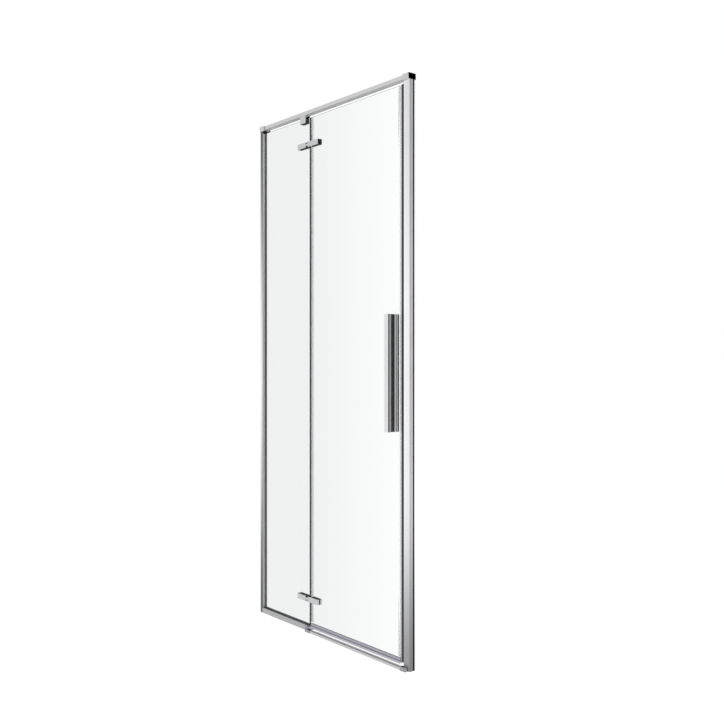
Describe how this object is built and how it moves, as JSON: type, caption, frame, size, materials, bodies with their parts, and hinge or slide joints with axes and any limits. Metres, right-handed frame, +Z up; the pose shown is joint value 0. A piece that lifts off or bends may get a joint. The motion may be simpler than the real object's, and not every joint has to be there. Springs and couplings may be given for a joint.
{
  "type": "pivot shower door",
  "caption": "Alcove shower door: fixed glass pane, glass-to-glass hinged door opening outward, wall channels, header rail, tall bar handle, magnetic strike and low threshold.",
  "frame": {"origin": "on the tray, midway between the two walls, under the middle of the glass", "axes": "+X along the opening from the hinge side to the strike side, +Y into the shower, +Z up"},
  "size_m": [0.9, 0.054, 1.95],
  "materials": {
    "chrome": "polished chrome plate",
    "bright_aluminium": "bright polished and anodised extrusion",
    "clear_glass": "clear toughened glass with ground edges",
    "clear_seal": "translucent soft plastic",
    "dark_seal": "dark soft plastic",
    "magnet_strip": "ferrite filled magnetic rubber",
    "gasket_rubber": "black rubber",
    "clear_pad": "translucent grey pad",
    "fastener_steel": "stainless steel",
    "bush_nylon": "natural nylon"
  },
  "bodies": {
    "frame": {"bottom_front_gasket": "gasket_rubber", "bottom_rail": "bright_aluminium", "bottom_rear_gasket": "gasket_rubber", "bottom_setting_blocks": "gasket_rubber", "channel_front_gasket": "gasket_rubber", "channel_rear_gasket": "gasket_rubber", "fixed_glass": "clear_glass", "header_bracket_left": "chrome", "header_bracket_right": "chrome", "header_clamp": "chrome", "header_clamp_grub_screws": "fastener_steel", "header_clamp_pads": "gasket_rubber", "header_clamp_screw": "fastener_steel", "header_grub_screws": "fastener_steel", "header_rail": "bright_aluminium", "header_slide_nut": "fastener_steel", "hinge_side_wall_channel": "bright_aluminium", "lower_hinge_bushes": "bush_nylon", "lower_hinge_fixed_clamp_plate": "chrome", "lower_hinge_fixed_leaf": "chrome", "lower_hinge_fixed_pads": "gasket_rubber", "lower_hinge_fixed_screws": "fastener_steel", "strike_channel_front_wall": "bright_aluminium", "strike_channel_rear_wall": "bright_aluminium", "strike_channel_web": "bright_aluminium", "strike_wall_seal": "gasket_rubber", "threshold_end_block": "chrome", "threshold_joint_block": "chrome", "threshold_strip": "bright_aluminium", "upper_hinge_bushes": "bush_nylon", "upper_hinge_fixed_clamp_plate": "chrome", "upper_hinge_fixed_leaf": "chrome", "upper_hinge_fixed_pads": "gasket_rubber", "upper_hinge_fixed_screws": "fastener_steel"},
    "door": {"door_glass": "clear_glass", "door_bottom_seal": "clear_seal", "door_hinge_seal_clip": "clear_seal", "door_hinge_seal_lip": "dark_seal", "door_magnet_seal": "dark_seal", "door_magnet_strip": "magnet_strip", "handle_front_bar": "bright_aluminium", "handle_back_bar": "chrome", "handle_front_pad": "clear_pad", "handle_back_pad": "clear_pad", "handle_sleeves": "clear_pad", "handle_bolts": "fastener_steel", "upper_hinge_door_leaf": "chrome", "upper_hinge_door_clamp_plate": "chrome", "upper_hinge_door_pads": "gasket_rubber", "upper_hinge_door_screws": "fastener_steel", "upper_hinge_pin": "fastener_steel", "lower_hinge_door_leaf": "chrome", "lower_hinge_door_clamp_plate": "chrome", "lower_hinge_door_pads": "gasket_rubber", "lower_hinge_door_screws": "fastener_steel", "lower_hinge_pin": "fastener_steel"},
    "strike": {"strike_post": "bright_aluminium", "strike_post_screws": "fastener_steel", "strike_magnet_seal": "dark_seal", "strike_magnet_strip": "magnet_strip"}
  },
  "joints": [
    {"name": "door_swing", "type": "hinge", "parent": "frame", "child": "door", "pos_m": [-0.12, -0.0085, 0.97], "axis": [0, 0, -1], "range_deg": [0, 100]},
    {"name": "strike_post_adjust", "type": "slide", "parent": "frame", "child": "strike", "axis": [1, 0, 0], "range_m": [0, 0.006]}
  ]
}
